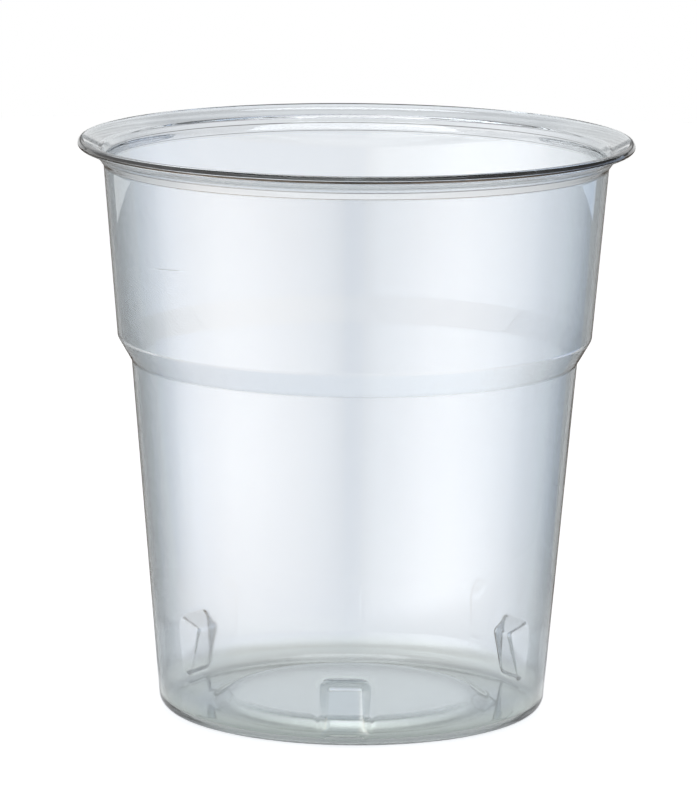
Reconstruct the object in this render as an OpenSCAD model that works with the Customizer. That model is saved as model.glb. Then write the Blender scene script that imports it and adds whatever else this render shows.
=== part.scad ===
// Clear disposable drinking cup, moulded in one piece.
// A single thin wall is turned about the Z axis: floor with a raised centre, tapered body
// with a step, and a flared rim with a rounded edge. Three pockets pressed in near
// the foot make lugs inside, and the next cup of a stack stands on their ledges.
// The cup stands on the plane z = 0 with its axis on Z, and one lug faces -Y.

/* [Rim] */
// Height of the whole cup
cup_h = 87.8; // [80:0.2:110]
// Diameter over the rim
rim_d = 84.5; // [82:0.5:92]
// Thickness of the flared rim at its rounded edge
rim_t = 1.3; // [1:0.1:1.6]
// Thickness that the flare thins to where it meets the bend
flare_t = 1.05; // [0.8:0.05:1.2]
// Share of half the rim's thickness that its edge is rounded by
edge_round = 0.8; // [0.5:0.05:0.95]
// Slope of the flare above level, in degrees
flare_angle = 25.5; // [15:0.5:35]
// Outer diameter where the flare turns down into the bend
bend_d = 79; // [78.4:0.2:80.4]
// Slope of the short bend between flare and wall, in degrees
bend_angle = 57; // [45:1:70]
// Thickness of the bend
bend_t = 1.1; // [0.8:0.1:1.3]
// Radius on the outer edges of the bend
bend_fillet = 0.7; // [0.3:0.1:1.2]
// Radius inside the cup where the wall turns out into the bend
neck_inside_fillet = 1.2; // [0.4:0.1:1.4]
// Radius inside the cup where the bend turns out into the flare
flare_inside_fillet = 0.9; // [0.4:0.1:1.4]

/* [Wall] */
// Thickness of the side wall
wall_t = 0.6; // [0.45:0.05:0.8]
// Outer diameter at the top of the wall, under the bend
neck_d = 77; // [75:0.2:77.4]
// Outer diameter at the table, if the wall ran straight down to it
foot_d = 58.8; // [54:0.2:62]

/* [Step] */
// Outer diameter at the upper edge of the step
step_top_d = 72.2; // [70:0.2:74]
// Height of the step's upper edge
step_top_z = 57.6; // [55:0.2:66]
// Outer diameter at the lower edge of the step
step_low_d = 67.9; // [65:0.1:69.5]
// Height of the step's lower edge
step_low_z = 53.9; // [44:0.2:54.6]
// Radius on the outer edges of the step
step_fillet = 0.9; // [0.3:0.1:2]

/* [Floor] */
// Thickness of the floor
floor_t = 0.8; // [0.6:0.05:1.2]
// Radius of the outer heel, between wall and floor
heel_fillet = 2.2; // [1.6:0.1:3]
// Diameter of the raised centre of the floor
centre_d = 37; // [28:0.5:40]
// Diameter at which the floor comes down to the ring that the cup stands on
ring_d = 42.4; // [41:0.2:48]
// Height of the raised centre above the table
centre_z = 1.5; // [0.8:0.1:2.5]
// Radius on the edges of the raised centre
centre_fillet = 0.4; // [0.2:0.1:0.6]

/* [Stacking lugs] */
// Number of lugs, evenly spaced
lug_count = 3; // [2:1:3]
// Width of a pocket at the outside of the wall
lug_mouth_w = 8.3; // [7.6:0.1:10]
// Width of the flat face at the bottom of a pocket
lug_face_w = 4.8; // [4:0.1:6.4]
// Height at which a pocket's ledge leaves the wall
lug_mouth_top = 10.4; // [9.6:0.1:13]
// Height of the pocket's lower edge
lug_mouth_low = 1.4; // [1:0.1:1.8]
// Height at which the ledge meets the face
lug_face_top = 8.5; // [7:0.1:9.2]
// Height of the lower edge of the face
lug_face_low = 1.9; // [1.6:0.1:2.6]
// Depth of a pocket at its ledge
lug_depth = 3; // [2:0.1:3.6]
// Depth of a pocket at the foot
lug_low_depth = 0.9; // [0.5:0.1:1.4]
// Corner radius of the pocket's mouth
lug_mouth_corner = 1.3; // [0.6:0.1:2]
// Corner radius of the pocket's face
lug_face_corner = 0.5; // [0.3:0.1:1]

/* [Hidden] */
$fn = 96;
// How thin the discs are that the lugs are blended between
film = 0.02;
// How far a cut runs past the surface that it opens
clear_cut = 1.2;
// Share of the wall's thickness that a lug's face is wider by than its pocket's, on each side
face_share = 0.6;
// Fineness of the rounded corners of the section
arc_steps = 8;
// Fineness of the lugs' corners
corner_fn = 32;

// The rim: its edge just reaches the rim's diameter and the cup's height, and the bend hangs
// from the underside of the flare
edge_r = rim_t / 2;
edge_reach = edge_r * (edge_round + (1 - edge_round) * (cos(flare_angle) + sin(flare_angle)));
edge_centre = [rim_d / 2 - edge_reach, cup_h - edge_reach];
flare_along = [cos(flare_angle), sin(flare_angle)];
flare_touch = edge_centre + edge_r * [sin(flare_angle), -cos(flare_angle)];
bend_top = [bend_d / 2, flare_touch.y - (flare_touch.x - bend_d / 2) * tan(flare_angle)];
neck = [neck_d / 2, bend_top.y - (bend_d - neck_d) / 2 * tan(bend_angle)];

// Corners of the outside of the cup, from the middle of the floor out and up to the rim
outside = [
    [0, centre_z],
    [centre_d / 2, centre_z],
    [ring_d / 2, 0],
    [foot_d / 2, 0],
    [step_low_d / 2, step_low_z],
    [step_top_d / 2, step_top_z],
    neck,
    bend_top,
    flare_touch + edge_r * flare_along,
];
// Thickness of the stretch that follows each corner; the flare's is the one at its edge
thickness = [floor_t, floor_t, floor_t, wall_t, wall_t, wall_t, bend_t, rim_t];
// Radius on each outer corner, and on the corner behind it inside the cup
outside_fillet = [0, centre_fillet, centre_fillet, heel_fillet, step_fillet, step_fillet,
    bend_fillet, bend_fillet, edge_round * edge_r];
inside_fillet = [0, centre_fillet, centre_fillet, heel_fillet - wall_t, step_fillet, step_fillet,
    neck_inside_fillet, flare_inside_fillet, edge_round * edge_r];

// Unit direction from one point to the next, and the same turned to its left
function towards(p, q) = (q - p) / norm(q - p);
function leftwards(d) = [-d.y, d.x];
// Where two lines cross, each given by a point and a direction
function crossing(p, d, q, e) = p + d * cross(q - p, e) / cross(d, e);
// One corner of a path after each of its stretches has moved left by its own thickness
function moved(path, shift, i) =
    let (last = len(path) - 1,
         before = i > 0 ? towards(path[i - 1], path[i]) : undef,
         after = i < last ? towards(path[i], path[i + 1]) : undef)
    i == 0 ? path[0] + shift[0] * leftwards(after)
    : i == last ? path[last] + shift[last - 1] * leftwards(before)
    : crossing(path[i] + shift[i - 1] * leftwards(before), before,
               path[i] + shift[i] * leftwards(after), after);
// The points of an arc that rounds the corner b between a and c
function arc(a, b, c, r) =
    let (u = towards(b, a), v = towards(b, c),
         half = acos(u * v) / 2,
         centre = b + (u + v) / norm(u + v) * r / sin(half),
         start = b + u * r / tan(half) - centre,
         turn = (cross(u, v) > 0 ? -1 : 1) * (180 - 2 * half))
    [for (k = [0:arc_steps]) let (t = turn * k / arc_steps)
        centre + [start.x * cos(t) - start.y * sin(t), start.x * sin(t) + start.y * cos(t)]];
// A path with its corners rounded; a radius of 0 keeps a corner sharp
function rounded(path, radii) = [for (i = [0:len(path) - 1])
    each radii[i] > 0
        ? arc(path[i - 1], path[i], path[i + 1], radii[i])
        : [path[i]]];
function backwards(list) = [for (i = [len(list) - 1:-1:0]) list[i]];

shifted = [for (i = [0:len(outside) - 1]) moved(outside, thickness, i)];
// The top of the flare starts from its full thickness at the edge and thins inward to the bend
flare_corner = len(outside) - 2;
flare_thin = bend_top + flare_t * leftwards(flare_along);
inside = [for (i = [0:len(outside) - 1]) i == flare_corner
    ? crossing(shifted[i - 1], towards(shifted[i - 1], shifted[i]),
               flare_thin, towards(flare_thin, shifted[i + 1]))
    : shifted[i]];
// Outer radius of the lower wall at a height
function wall_r(z) = (foot_d + (step_low_d - foot_d) * z / step_low_z) / 2;

// Half of the cup's section: the outside corners, then the inside ones on the way back
module section() {
    polygon(rounded(concat(outside, backwards(inside)),
        concat(outside_fillet, backwards(inside_fillet))));
}

// Everything inside the outer surface, which trims the lugs
module solid_cup() {
    corners = len(outside) - 1;
    rotate_extrude() polygon(concat(
        rounded(outside, [for (i = [0:corners]) i < corners ? outside_fillet[i] : 0]),
        [[0, cup_h]]));
}

// Thin discs at the corners of a plate that lies square to +X between two points (radius, height)
module corners(low, high, width, corner) {
    tilt = atan2(high.x - low.x, high.y - low.y);
    tall = norm(high - low);
    translate([low.x, 0, low.y]) rotate([0, tilt, 0])
        for (y = [-1, 1], z = [corner, tall - corner])
            translate([0, y * (width / 2 - corner), z]) rotate([0, 90, 0])
                cylinder(r = corner, h = film, $fn = corner_fn);
}

// A pocket's shape, or with grow the lug's around it, on the +X side of the cup
module lug_form(grow = 0) {
    hull() {
        for (out = [0, clear_cut])
            corners([wall_r(lug_mouth_low) + out, lug_mouth_low - grow],
                [wall_r(lug_mouth_top) + out, lug_mouth_top + grow],
                lug_mouth_w + 2 * grow, lug_mouth_corner + grow);
        wider = grow * face_share;
        corners([wall_r(lug_face_low) - lug_low_depth - grow, lug_face_low - wider],
            [wall_r(lug_face_top) - lug_depth - grow, lug_face_top + wider],
            lug_face_w + 2 * wider, lug_face_corner + wider);
    }
}

// The same shape at every lug
module around() {
    for (i = [0:lug_count - 1]) rotate(i * 360 / lug_count - 90) children();
}

module cup() {
    color([0.86, 0.9, 0.93, 0.45]) difference() {
        union() {
            rotate_extrude() section();
            intersection() {
                around() lug_form(wall_t);
                solid_cup();
            }
        }
        around() lug_form();
    }
}

cup();
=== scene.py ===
# Clear disposable cup in crystal polystyrene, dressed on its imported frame.
# Lengths in the dictionaries are in millimetres and angles in degrees, unless a note says otherwise.
import math

import bmesh
import bpy
import numpy as np
from mathutils import Matrix, Vector


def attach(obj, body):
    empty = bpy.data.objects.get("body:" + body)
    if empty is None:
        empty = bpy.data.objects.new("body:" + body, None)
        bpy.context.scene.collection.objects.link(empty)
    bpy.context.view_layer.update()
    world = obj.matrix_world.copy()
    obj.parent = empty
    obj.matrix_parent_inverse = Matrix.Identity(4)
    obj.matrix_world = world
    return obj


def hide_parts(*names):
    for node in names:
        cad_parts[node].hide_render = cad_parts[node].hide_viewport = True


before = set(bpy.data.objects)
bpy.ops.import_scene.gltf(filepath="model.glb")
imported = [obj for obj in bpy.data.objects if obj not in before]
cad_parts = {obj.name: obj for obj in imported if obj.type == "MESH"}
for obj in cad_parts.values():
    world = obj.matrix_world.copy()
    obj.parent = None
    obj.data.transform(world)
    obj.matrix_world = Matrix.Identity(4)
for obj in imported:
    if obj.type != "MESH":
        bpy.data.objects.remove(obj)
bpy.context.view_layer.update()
mm = 0.001


def toLinear(hexColor):
    parts = [int(hexColor[i:i + 2], 16) / 255 for i in (1, 3, 5)]
    return (*[c / 12.92 if c <= 0.04045 else ((c + 0.055) / 1.055) ** 2.4 for c in parts], 1.0)


def greyStops(stops, span=1.0, start=0.0, strongest=1.0):
    return [(start + at / span, (*[level / strongest] * 3, 1.0)) for at, level in stops]


def addNode(tree, kind, settings=None, inputs=None, stops=None):
    node = tree.nodes.new(kind)
    for name, value in (settings or {}).items():
        setattr(node, name, value)
    for name, value in (inputs or {}).items():
        if isinstance(value, bpy.types.NodeSocket):
            tree.links.new(value, node.inputs[name])
        else:
            node.inputs[name].default_value = value
    if stops:
        points = node.color_ramp.elements
        while len(points) < len(stops):
            points.new(0.5)
        for point, (place, color) in zip(points, stops):
            point.position, point.color = place, color
    return node.outputs


def newMaterial(name):
    material = bpy.data.materials.new(name)
    material.use_nodes = True
    material.node_tree.nodes.clear()
    return material, material.node_tree


def newObject(name, data):
    made = bpy.data.objects.new(name, data)
    bpy.context.scene.collection.objects.link(made)
    return made


# The cup's section has the solid's own sizes, except at the rim and the raised middle. The rim's differ by up
# to a quarter of a millimetre and three degrees, so that its bright and dark lines fall where the photograph
# has them. It stays within the solid's box.
cupSize = {
    "height": 87.79,
    "rimDiameter": 84.46,
    "rimThickness": 1.36,
    "flareThickness": 1.12,   # where the flare meets the bend
    "edgeRound": 0.8,         # share of half the rim's thickness
    "flareAngle": 23.7,       # above level
    "bendDiameter": 78.97,
    "bendAngle": 54.1,
    "bendThickness": 1.22,
    "bendFillet": 0.75,
    "neckInsideFillet": 1.11,
    "flareInsideFillet": 0.97,
    "wall": 0.6,
    "neckDiameter": 76.6,
    "footDiameter": 58.8,     # where the wall's line meets the table
    "stepTopDiameter": 72.2,
    "stepTopHeight": 57.6,
    "stepLowDiameter": 67.9,
    "stepLowHeight": 53.9,
    "stepFillet": 0.9,
    "floor": 0.8,
    "heelFillet": 2.2,
    "centreDiameter": 37.0,   # the raised middle of the floor
    "ringDiameter": 42.4,     # where the floor comes down to the ring it stands on
    "centreHeight": 1.5,
    "centreFillet": 3.0,      # moulded soft, so that no hard line shows round the middle
}
meshFineness = {
    "arcStep": 7.0,           # degrees between points of a rounded corner
    "arcSteps": 4,            # but at least this many steps
    "plainStretch": 0.5,      # a straight stretch up to this long has no rows between its ends
    "edgeRow": 0.3,           # rows this close to each rounded corner keep the wall's shading straight
    "wallRow": 7.0,           # rows along a plain wall
    "lugRow": 0.23,           # rows where the stacking lugs are
    "lugTopRow": 11.8,        # height under which they are
    "steep": 0.5,             # on stretches that rise by more than this share of their length
    "wallStart": 4.0,         # how far outside the ring's inner edge a row is the wall's, not the floor's
    "lugColumn": 0.42,        # degrees between columns at a lug
    "lugHalfWidth": 10.0,     # degrees each side of a lug's middle
    "wallColumn": 2.0,        # degrees between columns elsewhere
    "columnGrowth": 1.25,     # from one column to the next between the two
    "lastColumn": 0.6,        # share of a column that the last one has at least
    "merge": 0.002,           # points this close are one
}


def unit(way):
    return way / np.linalg.norm(way)


def cross(a, b):
    return a[0] * b[1] - a[1] * b[0]


def crossing(point, along, other, otherAlong):
    return point + along * cross(other - point, otherAlong) / cross(along, otherAlong)


def roundedPath(corners, radii):
    points = []
    for i, (corner, radius) in enumerate(zip(corners, radii)):
        if radius <= 0:
            points.append(corner)
            continue
        before, after = unit(corners[i - 1] - corner), unit(corners[i + 1] - corner)
        half = math.acos(before @ after) / 2
        centre = corner + unit(before + after) * radius / math.sin(half)
        start = corner + before * radius / math.tan(half) - centre
        turn = math.copysign(math.pi - 2 * half, -cross(before, after))
        steps = max(meshFineness["arcSteps"], round(abs(math.degrees(turn)) / meshFineness["arcStep"]))
        for t in np.linspace(0, turn, steps + 1):
            c, s = math.cos(t), math.sin(t)
            points.append(centre + np.array([start[0] * c - start[1] * s, start[0] * s + start[1] * c]))
    return points


# The other side of a wall: each stretch moved to its left by its own thickness
def offsetPath(corners, shifts):
    along = [unit(b - a) for a, b in zip(corners, corners[1:])]
    shift = [np.array([-a[1], a[0]]) * s for a, s in zip(along, shifts)]
    moved = [corners[0] + shift[0]]
    for i in range(1, len(corners) - 1):
        moved.append(crossing(corners[i] + shift[i - 1], along[i - 1], corners[i] + shift[i], along[i]))
    return moved + [corners[-1] + shift[-1]]


# The section from the middle of the underside out and up to the rim, and back inside, by radius and height
def makeSection(size):
    edge = size["rimThickness"] / 2
    flare, bend = math.radians(size["flareAngle"]), math.radians(size["bendAngle"])
    reach = edge * (size["edgeRound"] + (1 - size["edgeRound"]) * (math.cos(flare) + math.sin(flare)))
    touch = np.array([size["rimDiameter"] / 2 - reach + edge * math.sin(flare),
                      size["height"] - reach - edge * math.cos(flare)])
    bendTop = np.array([size["bendDiameter"] / 2,
                        touch[1] - (touch[0] - size["bendDiameter"] / 2) * math.tan(flare)])
    neck = np.array([size["neckDiameter"] / 2,
                     bendTop[1] - (bendTop[0] - size["neckDiameter"] / 2) * math.tan(bend)])
    outside = [np.array(p, float) for p in (
        (0, size["centreHeight"]),
        (size["centreDiameter"] / 2, size["centreHeight"]),
        (size["ringDiameter"] / 2, 0),
        (size["footDiameter"] / 2, 0),
        (size["stepLowDiameter"] / 2, size["stepLowHeight"]),
        (size["stepTopDiameter"] / 2, size["stepTopHeight"]),
        neck,
        bendTop,
        touch + edge * np.array([math.cos(flare), math.sin(flare)]))]
    shifts = [size["floor"]] * 3 + [size["wall"]] * 3 + [size["bendThickness"], size["rimThickness"]]
    inside = offsetPath(outside, shifts)
    # the flare has its full thickness at the edge and thins towards the bend
    thin = bendTop + size["flareThickness"] * np.array([-math.sin(flare), math.cos(flare)])
    inside[-2] = crossing(inside[-3], inside[-2] - inside[-3], thin, inside[-1] - thin)
    small, step, turn = size["centreFillet"], size["stepFillet"], size["bendFillet"]
    radii = [0, small, small, size["heelFillet"], step, step, turn, turn, size["edgeRound"] * edge]
    back = radii[:3] + [size["heelFillet"] - size["wall"], step, step, size["neckInsideFillet"],
                        size["flareInsideFillet"], radii[-1]]
    return roundedPath(outside + inside[::-1], radii + back[::-1])


def onLowWall(radius, height, top):
    return (height < top) & (radius > cupSize["ringDiameter"] / 2 + meshFineness["wallStart"])


def spacedRows(path):
    fine = meshFineness
    every = round(fine["wallRow"] / fine["lugRow"])
    rows = [path[0]]
    for a, b in zip(path, path[1:]):
        length = float(np.linalg.norm(b - a))
        steep = abs(b[1] - a[1]) > fine["steep"] * length
        count = round(length / fine["lugRow"]) if length > fine["plainStretch"] else 1
        for k, t in enumerate(np.linspace(0, 1, count + 1)[1:-1]):
            row = a + (b - a) * t
            atEnd = min(t, 1 - t) * length < fine["edgeRow"]
            if atEnd or k % every == every - 1 or (steep and onLowWall(*row, fine["lugTopRow"])):
                rows.append(row)
        rows.append(b)
    return np.array(rows)


# The three stacking lugs: each is a pocket in the wall's outside, and a lug one wall thick inside the cup
lugSize = {
    "count": 3,
    "firstAngle": -90.0,      # round from +X, so that the first faces the photograph's camera
    "mouthWidth": 8.3,
    "faceWidth": 4.8,
    "mouthTop": 10.4,
    "mouthLow": 1.4,
    "faceTop": 8.5,
    "faceLow": 1.9,
    "depth": 3.0,             # at the ledge
    "lowDepth": 0.9,          # at the foot
    "mouthCorner": 1.3,
    "faceCorner": 0.5,
    "faceShare": 0.6,         # share of the wall by which a lug's face is wider than its pocket's
    "edgeSoftness": 0.16,     # how far the edges of a pocket are rounded
    "insideSoftness": 0.3,    # and those of the lug inside the cup
    "gridWidth": 7.0,         # half the width of the patch of wall that a lug is pressed into
    "gridHeight": 14.0,       # and its height
    "gridSpacing": 0.05,
    "halvings": 24,           # of the search for a pocket's side
    "blurReach": 3,           # how many softnesses the rounding of the edges reaches
}


# How deep the wall is pressed in, by the distance from the lug's middle and the height. With grow it is for
# the lug's inner side, which is larger than the pocket by the wall. The wall's line is its radii and heights.
def lugDepths(grow, wallLine):
    size = lugSize
    spacing = size["gridSpacing"]
    soft = size["insideSoftness"] if grow else size["edgeSoftness"]
    columns, rows = (np.arange(0, size[side], spacing) for side in ("gridWidth", "gridHeight"))
    aside, height = np.meshgrid(columns, rows)

    # a rounded rectangle that shrinks from the mouth, at share 0, to the face, at share 1
    def inPocket(share):
        wider = grow * (1 + (size["faceShare"] - 1) * share)
        half = size["mouthWidth"] / 2 + wider + (size["faceWidth"] - size["mouthWidth"]) / 2 * share
        low = size["mouthLow"] - wider + (size["faceLow"] - size["mouthLow"]) * share
        top = size["mouthTop"] + wider + (size["faceTop"] - size["mouthTop"]) * share
        corner = size["mouthCorner"] + wider + (size["faceCorner"] - size["mouthCorner"]) * share
        wide = aside - (half - corner)
        tall = np.abs(height - (top + low) / 2) - ((top - low) / 2 - corner)
        far = np.hypot(np.maximum(wide, 0), np.maximum(tall, 0))
        return far + np.minimum(np.maximum(wide, tall), 0) <= corner

    shallow, deep = np.zeros_like(aside), np.ones_like(aside)
    within = inPocket(shallow)
    for _ in range(size["halvings"]):
        middle = (shallow + deep) / 2
        held = inPocket(middle)
        shallow, deep = np.where(held, middle, shallow), np.where(held, deep, middle)
    up = np.clip((height - size["faceLow"]) / (size["faceTop"] - size["faceLow"]), 0, 1)
    faceDepth = size["lowDepth"] + (size["depth"] - size["lowDepth"]) * up + grow
    straight = (cupSize["footDiameter"] + (cupSize["stepLowDiameter"] - cupSize["footDiameter"])
                * height / cupSize["stepLowHeight"]) / 2
    radius = np.interp(height, wallLine[:, 1], wallLine[:, 0])
    wall = np.sqrt(radius ** 2 - aside ** 2)
    cut = np.where(within, np.maximum(wall - (straight - faceDepth * shallow), 0), 0)

    reach = round(size["blurReach"] * soft / spacing)
    kernel = np.exp(-0.5 * (np.arange(-reach, reach + 1) * spacing / soft) ** 2)
    kernel /= kernel.sum()
    cut = np.concatenate([cut[:, :0:-1], cut], axis=1)  # both halves, so that the middle blurs too
    for axis in (0, 1):
        cut = np.apply_along_axis(np.convolve, axis, cut, kernel, "same")
    cut = cut[:, len(columns) - 1:]

    def depthAt(aside, height):
        y = np.clip(np.abs(aside) / spacing, 0, len(columns) - 1)
        z = np.clip(height / spacing, 0, len(rows) - 1)
        i, j = np.minimum(y.astype(int), len(columns) - 2), np.minimum(z.astype(int), len(rows) - 2)
        y, z = y - i, z - j
        return ((cut[j, i] * (1 - y) + cut[j, i + 1] * y) * (1 - z)
                + (cut[j + 1, i] * (1 - y) + cut[j + 1, i + 1] * y) * z)

    return depthAt


def sectorColumns():
    fine = meshFineness
    half, step = [0.0], fine["lugColumn"]
    end = 180 / lugSize["count"]
    while half[-1] < end:
        if half[-1] >= fine["lugHalfWidth"]:
            step = min(fine["wallColumn"], step * fine["columnGrowth"])
        half.append(half[-1] + step)
    half[-1] = end  # exactly on the seam, so that the sectors join
    if end - half[-2] < fine["lastColumn"] * step:
        del half[-2]
    return np.radians(np.concatenate([-np.array(half[:0:-1]), half]))


# One lug's share of the cup, turned about Z with the lug on the +X side
def makeSector():
    rows, angles = spacedRows(makeSection(cupSize)), sectorColumns()
    x, y = rows[:, :1] * np.cos(angles), rows[:, :1] * np.sin(angles)
    z = np.repeat(rows[:, 1:], len(angles), axis=1)
    rim = int(rows[:, 1].argmax())
    for part, grow in ((slice(0, rim), 0.0), (slice(rim, len(rows)), cupSize["wall"])):
        wallLine = rows[part][onLowWall(*rows[part].T, lugSize["gridHeight"])]
        depthAt = lugDepths(grow, wallLine[np.argsort(wallLine[:, 1])])
        reached = onLowWall(x[part], z[part], lugSize["gridHeight"])
        x[part] -= np.where(reached, depthAt(y[part], z[part]), 0)
    points = np.stack([x, y, z], -1).reshape(-1, 3) * mm
    count = len(angles)
    first = (np.arange(len(rows) - 1)[:, None] * count + np.arange(count - 1)).ravel()
    faces = np.stack([first, first + 1, first + count + 1, first + count], 1)
    mesh = bpy.data.meshes.new("cupSector")
    mesh.from_pydata(points.tolist(), [], faces.tolist())
    return mesh


# Repeats a sector round the axis and closes the seams
def sectorTree():
    tree = bpy.data.node_groups.new("repeatSectors", "GeometryNodeTree")
    sockets = tree.interface
    for name, kind in (("Geometry", "Geometry"), ("Sectors", "Int"), ("First Angle", "Float"),
                       ("Merge Distance", "Float"), ("Finish", "Material")):
        sockets.new_socket(name, in_out="INPUT", socket_type="NodeSocket" + kind)
    sockets.new_socket("Geometry", in_out="OUTPUT", socket_type="NodeSocketGeometry")
    given = addNode(tree, "NodeGroupInput")
    points = addNode(tree, "GeometryNodeMeshLine", {"mode": "OFFSET"},
                     {"Count": given["Sectors"], "Offset": (0, 0, 0)})[0]
    index = addNode(tree, "GeometryNodeInputIndex")[0]
    pitch = addNode(tree, "ShaderNodeMath", {"operation": "DIVIDE"},
                    {0: 2 * math.pi, 1: given["Sectors"]})[0]
    angle = addNode(tree, "ShaderNodeMath", {"operation": "MULTIPLY_ADD"},
                    {0: index, 1: pitch, 2: given["First Angle"]})[0]
    turn = addNode(tree, "ShaderNodeCombineXYZ", inputs={"Z": angle})[0]
    copies = addNode(tree, "GeometryNodeInstanceOnPoints", inputs={
        "Points": points, "Instance": given["Geometry"], "Rotation": turn})[0]
    real = addNode(tree, "GeometryNodeRealizeInstances", inputs={"Geometry": copies})[0]
    joined = addNode(tree, "GeometryNodeMergeByDistance", inputs={
        "Geometry": real, "Distance": given["Merge Distance"]})[0]
    smooth = addNode(tree, "GeometryNodeSetShadeSmooth", inputs={"Geometry": joined})[0]
    done = addNode(tree, "GeometryNodeSetMaterial", inputs={
        "Geometry": smooth, "Material": given["Finish"]})[0]
    addNode(tree, "NodeGroupOutput", inputs={"Geometry": done})
    return tree


# Crystal polystyrene, injection moulded in polished steel: as clear as glass, with a faint cold tint. The
# grey edges where the eye looks along the wall are painted shade in the tint, and the floor and heel are
# painted paler.
# The mould leaves slow waves along the flow, and a finely eroded underside in the middle. Handling has left
# one scratch on the upper wall and faint smudges.
plasticLook = {
    "ior": 1.59,
    "roughness": 0.0,
    "facing": (               # the faint cold tint of one wall face on, darkened as the surface turns away: painted edge shade
        (0.00, "#E8ECF0"),
        (0.20, "#E8ECF0"),
        (0.36, "#E0E5EA"),
        (0.56, "#CBD1D5"),
        (0.72, "#AEB5B8"),
        (0.90, "#A0A7AA"),
        (1.00, "#949B9E"),
    ),
    "footPaintedLightTint": "#E5EAE6",    # painted light: a paler tint at the floor and heel, which are lit from all round, with no painted edge shade
    "footHeight": (2.2, 5.0), # and the heights over which it gives way to the wall's
    "lampTint": "#E6EAEE",    # what a lamp's light keeps on its way through a wall
    "waveSize": 5.0,          # across the flow
    "waveLength": 70.0,       # along it
    "waveHeight": 0.02,
    "waveDetail": 1.0,
    "frost": 0.2,             # roughness of the eroded underside
    "frostSoftEdge": 0.3,
    "smudge": 0.06,           # roughness in the middle of a smudge
    "smudgeSize": 14.0,
    "smudgeFrom": (0.56, 0.74), # the values of the noise over which a smudge comes in
    "scratchFrom": (55.3, 70.7), # degrees round from the camera's side to the left, and the height
    "scratchTo": (37.4, 71.6),
    "scratchWidth": 0.2,
    "scratchDepth": 0.03,
}


# In radians, from the camera's side to the left
def angleRound(tree, place):
    turned = addNode(tree, "ShaderNodeVectorMath", {"operation": "MULTIPLY"}, {0: place, 1: (-1, -1, 1)})[0]
    parts = addNode(tree, "ShaderNodeSeparateXYZ", inputs={0: turned})
    return addNode(tree, "ShaderNodeMath", {"operation": "ARCTAN2"}, {0: parts["X"], 1: parts["Y"]})[0]


def frostedMiddle(tree, place):
    size, look = cupSize, plasticLook
    inner, outer = size["centreDiameter"] / 2 * mm, size["ringDiameter"] / 2 * mm
    level = addNode(tree, "ShaderNodeVectorMath", {"operation": "MULTIPLY"}, {0: place, 1: (1, 1, 0)})[0]
    radius = addNode(tree, "ShaderNodeVectorMath", {"operation": "LENGTH"}, {0: level})["Value"]
    height = addNode(tree, "ShaderNodeSeparateXYZ", inputs={0: place})["Z"]
    # the level half way through the floor parts its underside from its top, also where it slopes to the ring
    middle = addNode(tree, "ShaderNodeMapRange", inputs={
        "Value": radius, "From Min": inner, "From Max": outer,
        "To Min": (size["centreHeight"] + size["floor"] / 2) * mm, "To Max": size["floor"] / 2 * mm})[0]
    under = addNode(tree, "ShaderNodeMath", {"operation": "LESS_THAN"}, {0: height, 1: middle})[0]
    within = addNode(tree, "ShaderNodeMapRange", {"interpolation_type": "SMOOTHSTEP"}, {
        "Value": radius, "From Min": outer - look["frostSoftEdge"] * mm, "From Max": outer,
        "To Min": look["frost"], "To Max": look["roughness"]})[0]
    return addNode(tree, "ShaderNodeMath", {"operation": "MULTIPLY"}, {0: under, 1: within})[0]


def handledGloss(tree, place):
    look = plasticLook
    thin, thick = look["smudgeFrom"]
    patches = addNode(tree, "ShaderNodeTexNoise", inputs={
        "Vector": place, "Scale": 1 / (look["smudgeSize"] * mm)})["Fac"]
    smudge = addNode(tree, "ShaderNodeMapRange", {"interpolation_type": "SMOOTHSTEP"}, {
        "Value": patches, "From Min": thin, "From Max": thick,
        "To Min": look["roughness"], "To Max": look["smudge"]})[0]
    return addNode(tree, "ShaderNodeMath", {"operation": "MAXIMUM"}, {
        0: frostedMiddle(tree, place), 1: smudge})[0]


def mouldedWaves(tree, place):
    look = plasticLook
    flow = addNode(tree, "ShaderNodeMapping", inputs={
        "Vector": place, "Scale": (1, 1, look["waveSize"] / look["waveLength"])})[0]
    waves = addNode(tree, "ShaderNodeTexNoise", inputs={
        "Vector": flow, "Scale": 1 / (look["waveSize"] * mm), "Detail": look["waveDetail"]})["Fac"]
    return addNode(tree, "ShaderNodeBump", inputs={
        "Height": waves, "Distance": look["waveHeight"] * mm, "Strength": 1.0})[0]


# The scratch is a groove along a line that climbs evenly on its way round, and it runs out at both ends
def scratched(tree, place, before):
    look = plasticLook
    (first, low), (last, high) = look["scratchFrom"], look["scratchTo"]
    slope = (high - low) * mm / math.radians(last - first)
    turn = angleRound(tree, place)
    height = addNode(tree, "ShaderNodeSeparateXYZ", inputs={0: place})["Z"]
    line = addNode(tree, "ShaderNodeMath", {"operation": "MULTIPLY_ADD"},
                   {0: turn, 1: slope, 2: low * mm - slope * math.radians(first)})[0]
    near = []
    for value, target, reach in (
            (height, line, look["scratchWidth"] / 2 * mm),
            (turn, math.radians((first + last) / 2), math.radians(abs(last - first) / 2))):
        apart = addNode(tree, "ShaderNodeMath", {"operation": "SUBTRACT"}, {0: value, 1: target})[0]
        far = addNode(tree, "ShaderNodeMath", {"operation": "ABSOLUTE"}, {0: apart})[0]
        near.append(addNode(tree, "ShaderNodeMapRange", {"interpolation_type": "SMOOTHSTEP"}, {
            "Value": far, "From Max": reach, "To Min": 1.0, "To Max": 0.0})[0])
    groove = addNode(tree, "ShaderNodeMath", {"operation": "MULTIPLY"}, {0: near[0], 1: near[1]})[0]
    return addNode(tree, "ShaderNodeBump", {"invert": True}, {
        "Height": groove, "Distance": look["scratchDepth"] * mm, "Strength": 1.0, "Normal": before})[0]


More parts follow.
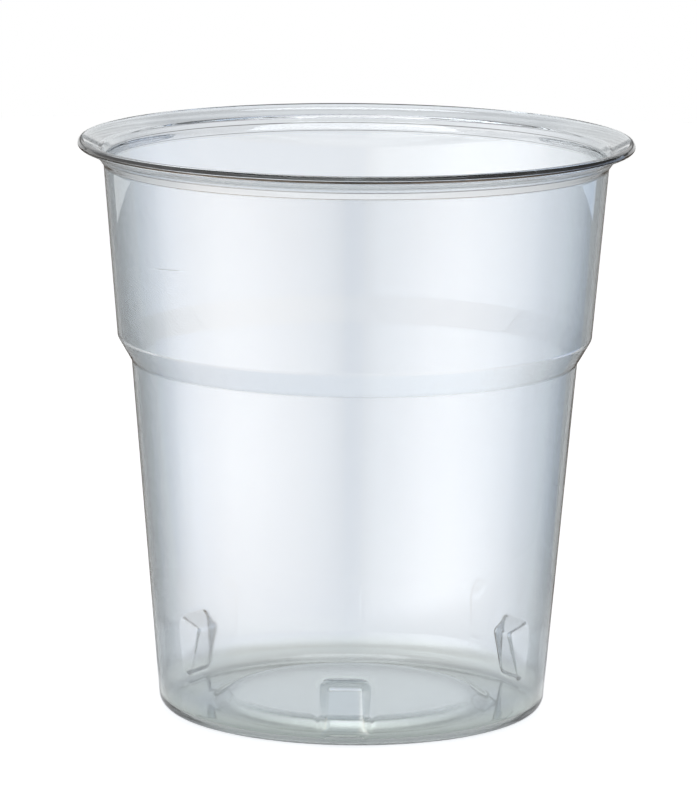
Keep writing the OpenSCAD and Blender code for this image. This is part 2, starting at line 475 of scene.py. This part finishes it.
def makePlastic():
    look = plasticLook
    material, tree = newMaterial("crystalPolystyrene")
    place = addNode(tree, "ShaderNodeTexCoord")["Object"]
    facing = addNode(tree, "ShaderNodeLayerWeight")["Facing"]
    # painted edge shade: the wall's tint darkens as the surface turns away from the eye
    edgeShadeTint = addNode(tree, "ShaderNodeValToRGB", inputs={"Fac": facing},
                       stops=[(at, toLinear(color)) for at, color in look["facing"]])[0]
    height = addNode(tree, "ShaderNodeSeparateXYZ", inputs={0: place})["Z"]
    footEnd, wallStart = look["footHeight"]
    above = addNode(tree, "ShaderNodeMapRange", {"interpolation_type": "SMOOTHSTEP"}, {
        "Value": height, "From Min": footEnd * mm, "From Max": wallStart * mm})[0]
    # painted light and shade: the floor and heel take the paler painted tint, the wall the edge-shaded one
    tint = addNode(tree, "ShaderNodeMix", {"data_type": "RGBA"}, {
        0: above, 6: toLinear(look["footPaintedLightTint"]), 7: edgeShadeTint})[2]
    plastic = addNode(tree, "ShaderNodeBsdfPrincipled", inputs={
        "Base Color": tint, "Roughness": handledGloss(tree, place), "IOR": look["ior"],
        "Transmission Weight": 1.0, "Normal": scratched(tree, place, mouldedWaves(tree, place))})[0]
    # a lamp's light passes straight through, because the clear wall would otherwise throw a solid shadow
    passing = addNode(tree, "ShaderNodeBsdfTransparent", inputs={"Color": toLinear(look["lampTint"])})[0]
    lamp = addNode(tree, "ShaderNodeLightPath")["Is Shadow Ray"]
    seen = addNode(tree, "ShaderNodeMixShader", inputs={0: lamp, 1: plastic, 2: passing})[0]
    addNode(tree, "ShaderNodeOutputMaterial", inputs={"Surface": seen})
    return material


def makeCup():
    source = newObject("cupSource", makeSector())
    modifier = source.modifiers.new("repeatSectors", "NODES")
    modifier.node_group = sectorTree()
    wanted = {
        "Sectors": lugSize["count"],
        "First Angle": math.radians(lugSize["firstAngle"]),
        "Merge Distance": meshFineness["merge"] * mm,
        "Finish": makePlastic(),
    }
    for item in modifier.node_group.interface.items_tree:
        if item.name in wanted:
            modifier[item.identifier] = wanted[item.name]
    graph = bpy.context.evaluated_depsgraph_get()
    mesh = bpy.data.meshes.new_from_object(source.evaluated_get(graph))
    mesh.name = "clearCup"
    source.modifiers.remove(modifier)
    bpy.data.objects.remove(source)
    shell = bmesh.new()
    shell.from_mesh(mesh)
    bmesh.ops.recalc_face_normals(shell, faces=shell.faces)
    print("stage: cup mesh,", len(shell.faces), "faces,", len(shell.calc_loop_triangles()), "triangles,",
          sum(not edge.is_manifold for edge in shell.edges), "open edges, volume in cubic mm",
          round(shell.calc_volume(signed=True) / mm ** 3, 1))
    shell.to_mesh(mesh)
    shell.free()
    return newObject("clearCup", mesh)


cup = makeCup()
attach(cup, "root")
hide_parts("cup")


# The studio: a white table under a soft lamp, walls that are brightest at the left, a lit card behind, and
# sheets that only the plastic shows: a softbox at the left, a window at the right and a card on the table.
# Each list of stops is brightness by place. Those of the walls and sheets go by the degrees round the cup,
# from the camera's side to the left.
studio = {
    "horizon": (-0.02, 0.02), # sine of the elevation over which the white table gives way to the walls
    "farTable": 0.95,         # its brightness beyond its modelled edge, where the walls aren't brighter
    "wallStops": (
        (-180, 0.25), (-150, 0.1), (-120, 0.3), (-90, 0.6), (-60, 0.72), (-30, 0.72), (0, 0.95), (30, 1.35),
        (60, 1.5), (90, 1.35), (120, 0.85), (150, 0.4), (180, 0.25)),
    "wallTop": (0.75, 0.88),  # sine of the elevation over which the walls end under a dark ceiling
    "cardBehindStops": (      # by the same sine: a dark gap under the card and the ceiling above it
        (0.0, 0.95), (0.05, 0.9), (0.07, 0.25), (0.13, 0.25), (0.17, 0.95), (0.55, 0.95), (0.65, 0.15)),
    "cardBehindSide": (0.72, 0.95), # how far round to the sides it reaches, as a cosine
    "floorRadius": 700.0,
    "floorPoints": 96,
    "floorDrop": 0.03,        # the table lies this far under the cup's foot
    "floorColor": "#E6E6E6",
    "floorGlow": 0.76,        # added to the lit table where the camera sees it, so that it is white
    "shadeStops": (           # how bright the plastic shows it, by radius: a painted soft shadow of the cup, darkest round its ring and clear under its middle
        (0, 0.74), (17.5, 0.74), (19.5, 0.30), (24, 0.24), (28, 0.22), (31, 0.44), (36, 0.52), (40, 0.46),
        (45, 0.76), (70, 0.74)),
    "sheenFrom": (35.0, 45.0), # the radii over which its mirror image in the plastic fades behind the cup
    "sheenBehind": 0.12,      # to this share
    "sheenSide": (-0.2, 0.4), # and how far round, as a sine that is 1 straight behind
    "lampHeight": 1300.0,
    "lampSide": 900.0,
    "lampPower": 9.0,         # watts
    "sheetPoints": 121,       # along each edge of a sheet
    "sheetLift": 0.2,         # of those that lie on the table
    "softboxRadius": 400.0,   # the window has the same radius, height and foot
    "softboxHeight": 140.0,
    "softboxFoot": (60.0, 160.0), # the radii over which its light on the table comes in
    "softboxDegrees": (3, 140),
    "softboxTint": "#FFFEFC",
    "softboxStops": (
        (3, 0.95), (7, 1.4), (12, 1.95), (20, 2.2), (34, 2.65), (43, 3.1), (55, 3.4), (70, 3.15), (84, 2.95),
        (97, 2.35), (108, 1.5), (122, 1.2), (140, 1.05)),
    "windowDegrees": (-140, 3),
    "windowTint": "#DAE8FF",
    "windowStops": ((-140, 1.1), (-110, 1.4), (-85, 1.05), (-16, 0.95), (-6, 0.75), (3, 0.9)),
    "cardEdge": (42.0, 100.0), # the radii over which the card on the table comes in
    "cardRadius": 650.0,
    "cardTint": "#FFE9D2",
    "cardStops": (
        (-180, 0.1), (-120, 0.15), (-95, 0.6), (-70, 1.8), (-50, 2.85), (-34, 2.75), (-20, 2.0), (-10, 1.6),
        (0, 1.1), (9, 1.75), (24, 2.6), (44, 3.1), (60, 3.0), (76, 2.3), (88, 1.5), (100, 0.5), (120, 0.15),
        (180, 0.1)),
}


def levelRound(tree, place, stops):
    strongest = max(level for _, level in stops)
    share = addNode(tree, "ShaderNodeMath", {"operation": "MULTIPLY_ADD"},
                    {0: angleRound(tree, place), 1: 0.5 / math.pi, 2: 0.5})[0]
    level = addNode(tree, "ShaderNodeValToRGB", inputs={"Fac": share},
                    stops=greyStops(stops, 360, 0.5, strongest))[0]
    return addNode(tree, "ShaderNodeMath", {"operation": "MULTIPLY"}, {0: level, 1: strongest})[0]


def makeGlow(name, stops, hexColor, edge=None):
    material, tree = newMaterial(name)
    place = addNode(tree, "ShaderNodeTexCoord")["Object"]
    light = addNode(tree, "ShaderNodeEmission", inputs={
        "Color": toLinear(hexColor), "Strength": levelRound(tree, place, stops)})[0]
    if edge:
        radius = addNode(tree, "ShaderNodeVectorMath", {"operation": "LENGTH"}, {0: place})["Value"]
        there = addNode(tree, "ShaderNodeMapRange", {"interpolation_type": "SMOOTHSTEP"}, {
            "Value": radius, "From Min": edge[0] * mm, "From Max": edge[1] * mm})[0]
        clear = addNode(tree, "ShaderNodeBsdfTransparent")[0]
        light = addNode(tree, "ShaderNodeMixShader", inputs={0: there, 1: clear, 2: light})[0]
    addNode(tree, "ShaderNodeOutputMaterial", inputs={"Surface": light})
    return material


# A sheet of light round the cup, from one edge's radius and height to the other's
def makeSheet(name, first, second, degrees, material):
    angles = np.radians(np.linspace(*degrees, studio["sheetPoints"]))
    points = [(-radius * mm * math.sin(angle), -radius * mm * math.cos(angle), height * mm)
              for radius, height in (first, second) for angle in angles]
    count = len(angles)
    mesh = bpy.data.meshes.new(name)
    mesh.from_pydata(points, [], [(i, i + 1, i + 1 + count, i + count) for i in range(count - 1)])
    mesh.materials.append(material)
    sheet = newObject(name, mesh)
    sheet.visible_camera = sheet.visible_diffuse = sheet.visible_shadow = False
    return sheet


def makeSheets():
    far, lift = studio["softboxRadius"], studio["sheetLift"]
    edge = studio["softboxFoot"]
    for side in ("softbox", "window"):
        stops, tint, degrees = (studio[side + what] for what in ("Stops", "Tint", "Degrees"))
        glow = makeGlow(side + "Glow", stops, tint)
        makeSheet(side, (far, 0), (far, studio["softboxHeight"]), degrees, glow)
        footGlow = makeGlow(side + "FootGlow", stops, tint, edge)
        foot = makeSheet(side + "Foot", (edge[0], lift), (far, lift), degrees, footGlow)
        foot.visible_glossy = False
    edge = studio["cardEdge"]
    cardGlow = makeGlow("cardGlow", studio["cardStops"], studio["cardTint"], edge)
    card = makeSheet("tableCard", (edge[0], lift), (studio["cardRadius"], lift), (-180, 180), cardGlow)
    card.visible_transmission = False


# The table is lit by the lamp, and glows besides where the camera or the plastic sees it; where the plastic
# sees it, its glow carries a painted shadow of the cup
def makeFloor():
    material, tree = newMaterial("paintedTable")
    path = addNode(tree, "ShaderNodeLightPath")
    place = addNode(tree, "ShaderNodeTexCoord")["Object"]
    radius = addNode(tree, "ShaderNodeVectorMath", {"operation": "LENGTH"}, {0: place})["Value"]
    widest = studio["shadeStops"][-1][0]
    share = addNode(tree, "ShaderNodeMath", {"operation": "DIVIDE"}, {0: radius, 1: widest * mm})[0]
    shade = addNode(tree, "ShaderNodeValToRGB", inputs={"Fac": share},
                    stops=greyStops(studio["shadeStops"], widest))[0]
    heading = addNode(tree, "ShaderNodeVectorMath", {"operation": "NORMALIZE"}, {0: place})[0]
    away = addNode(tree, "ShaderNodeSeparateXYZ", inputs={0: heading})["Y"]
    beside, behind = studio["sheenSide"]
    farSheen = addNode(tree, "ShaderNodeMapRange", {"interpolation_type": "SMOOTHSTEP"}, {
        "Value": away, "From Min": beside, "From Max": behind,
        "To Min": 1.0, "To Max": studio["sheenBehind"]})[0]
    nearest, farthest = studio["sheenFrom"]
    sheen = addNode(tree, "ShaderNodeMapRange", inputs={
        "Value": radius, "From Min": nearest * mm, "From Max": farthest * mm,
        "To Min": 1.0, "To Max": farSheen})[0]
    mirrored = addNode(tree, "ShaderNodeMath", {"operation": "MULTIPLY"},
                       {0: path["Is Glossy Ray"], 1: sheen})[0]
    shown = addNode(tree, "ShaderNodeMath", {"operation": "MAXIMUM"},
                    {0: mirrored, 1: path["Is Transmission Ray"]})[0]
    # the painted shadow of the cup is in what the plastic sees of the table
    inPlastic = addNode(tree, "ShaderNodeMath", {"operation": "MULTIPLY"}, {0: shown, 1: shade})[0]
    direct = addNode(tree, "ShaderNodeMath", {"operation": "MULTIPLY"},
                     {0: path["Is Camera Ray"], 1: studio["floorGlow"]})[0]
    strength = addNode(tree, "ShaderNodeMath", {"operation": "MAXIMUM"}, {0: inPlastic, 1: direct})[0]
    glow = addNode(tree, "ShaderNodeEmission", inputs={"Color": (1, 1, 1, 1), "Strength": strength})[0]
    matt = addNode(tree, "ShaderNodeBsdfDiffuse", inputs={"Color": toLinear(studio["floorColor"])})[0]
    both = addNode(tree, "ShaderNodeAddShader", inputs={0: matt, 1: glow})[0]
    addNode(tree, "ShaderNodeOutputMaterial", inputs={"Surface": both})
    edge, drop = studio["floorRadius"] * mm, studio["floorDrop"] * mm
    mesh = bpy.data.meshes.new("table")
    points = [(edge * math.cos(a), edge * math.sin(a), -drop)
              for a in np.linspace(0, 2 * math.pi, studio["floorPoints"], endpoint=False)]
    mesh.from_pydata(points, [], [tuple(range(len(points)))])
    mesh.materials.append(material)
    newObject("table", mesh)


# White where the camera sees it, and the room where the plastic mirrors it or lets it through
def makeWorld():
    world = bpy.data.worlds.new("studioRoom")
    bpy.context.scene.world = world
    world.use_nodes = True
    tree = world.node_tree
    tree.nodes.clear()
    path = addNode(tree, "ShaderNodeLightPath")
    direction = addNode(tree, "ShaderNodeTexCoord")["Generated"]
    up = addNode(tree, "ShaderNodeSeparateXYZ", inputs={0: direction})["Z"]
    level = addNode(tree, "ShaderNodeVectorMath", {"operation": "MULTIPLY"}, {0: direction, 1: (1, 1, 0)})[0]
    heading = addNode(tree, "ShaderNodeVectorMath", {"operation": "NORMALIZE"}, {0: level})[0]
    away = addNode(tree, "ShaderNodeSeparateXYZ", inputs={0: heading})["Y"]
    shares = []
    for value, ends, first, last in ((up, studio["wallTop"], 1.0, 0.0), (up, studio["horizon"], 1.0, 0.0),
                                     (away, studio["cardBehindSide"], 0.0, 1.0)):
        shares.append(addNode(tree, "ShaderNodeMapRange", {"interpolation_type": "SMOOTHSTEP"}, {
            "Value": value, "From Min": ends[0], "From Max": ends[1], "To Min": first, "To Max": last})[0])
    underCeiling, onTable, onCard = shares
    walls = addNode(tree, "ShaderNodeMath", {"operation": "MULTIPLY"}, {
        0: levelRound(tree, direction, studio["wallStops"]), 1: underCeiling})[0]
    card = addNode(tree, "ShaderNodeValToRGB", inputs={"Fac": up},
                   stops=greyStops(studio["cardBehindStops"]))[0]
    above = addNode(tree, "ShaderNodeMix", inputs={0: onCard, 2: walls, 3: card})[0]
    farTable = addNode(tree, "ShaderNodeMath", {"operation": "MAXIMUM"}, {0: walls, 1: studio["farTable"]})[0]
    around = addNode(tree, "ShaderNodeMix", inputs={0: onTable, 2: above, 3: farTable})[0]
    shown = addNode(tree, "ShaderNodeMath", {"operation": "MAXIMUM"},
                    {0: path["Is Glossy Ray"], 1: path["Is Transmission Ray"]})[0]
    inPlastic = addNode(tree, "ShaderNodeMath", {"operation": "MULTIPLY"}, {0: shown, 1: around})[0]
    strength = addNode(tree, "ShaderNodeMix", inputs={0: path["Is Camera Ray"], 2: inPlastic, 3: 1.0})[0]
    back = addNode(tree, "ShaderNodeBackground", inputs={"Color": (1, 1, 1, 1), "Strength": strength})[0]
    addNode(tree, "ShaderNodeOutputWorld", inputs={"Surface": back})


def makeLamp():
    light = bpy.data.lights.new("topSoftbox", "AREA")
    light.energy = studio["lampPower"]
    light.size = studio["lampSide"] * mm
    lamp = newObject("topSoftbox", light)
    lamp.location = (0, 0, studio["lampHeight"] * mm)
    lamp.visible_camera = False


makeWorld()
makeFloor()
makeLamp()
makeSheets()
print("stage: studio made")


# The camera, from a fit to the photograph's outline
shot = {
    "distance": 857.8,        # from the cup's axis, level
    "height": 202.73,
    "azimuth": 1.8,           # the front lug stands this far left of the camera's side
    "pitch": 10.262,          # downward
    "pan": -0.0573,
    "roll": 0.533,
    "lens": 256.96,
    "sensor": 36.0,           # along the frame's long side
    "clip": (50.0, 20000.0),
}


def makeCamera():
    pan, pitch, roll = (math.radians(shot[turn]) for turn in ("pan", "pitch", "roll"))
    right = Vector((math.cos(pan), -math.sin(pan), 0))
    up = Vector((math.sin(pan) * math.sin(pitch), math.cos(pan) * math.sin(pitch), math.cos(pitch)))
    forward = Vector((math.sin(pan) * math.cos(pitch), math.cos(pan) * math.cos(pitch), -math.sin(pitch)))
    turned = right * math.cos(roll) + up * math.sin(roll)
    upright = up * math.cos(roll) - right * math.sin(roll)
    place = Matrix((turned, upright, -forward)).transposed().to_4x4()
    place.translation = Vector((0, -shot["distance"] * mm, shot["height"] * mm))
    view = bpy.data.cameras.new("photoCamera")
    view.lens = shot["lens"]
    view.sensor_width = shot["sensor"]
    view.clip_start, view.clip_end = (reach * mm for reach in shot["clip"])
    camera = newObject("photoCamera", view)
    camera.matrix_world = Matrix.Rotation(math.radians(shot["azimuth"]), 4, "Z") @ place
    bpy.context.scene.camera = camera


makeCamera()
scene = bpy.context.scene
scene.view_settings.view_transform = "Standard"
scene.cycles.max_bounces = 40
scene.cycles.transmission_bounces = 32
scene.cycles.glossy_bounces = 24
scene.cycles.transparent_max_bounces = 24
scene.cycles.caustics_reflective = False
scene.cycles.caustics_refractive = False
print("stage: camera set")
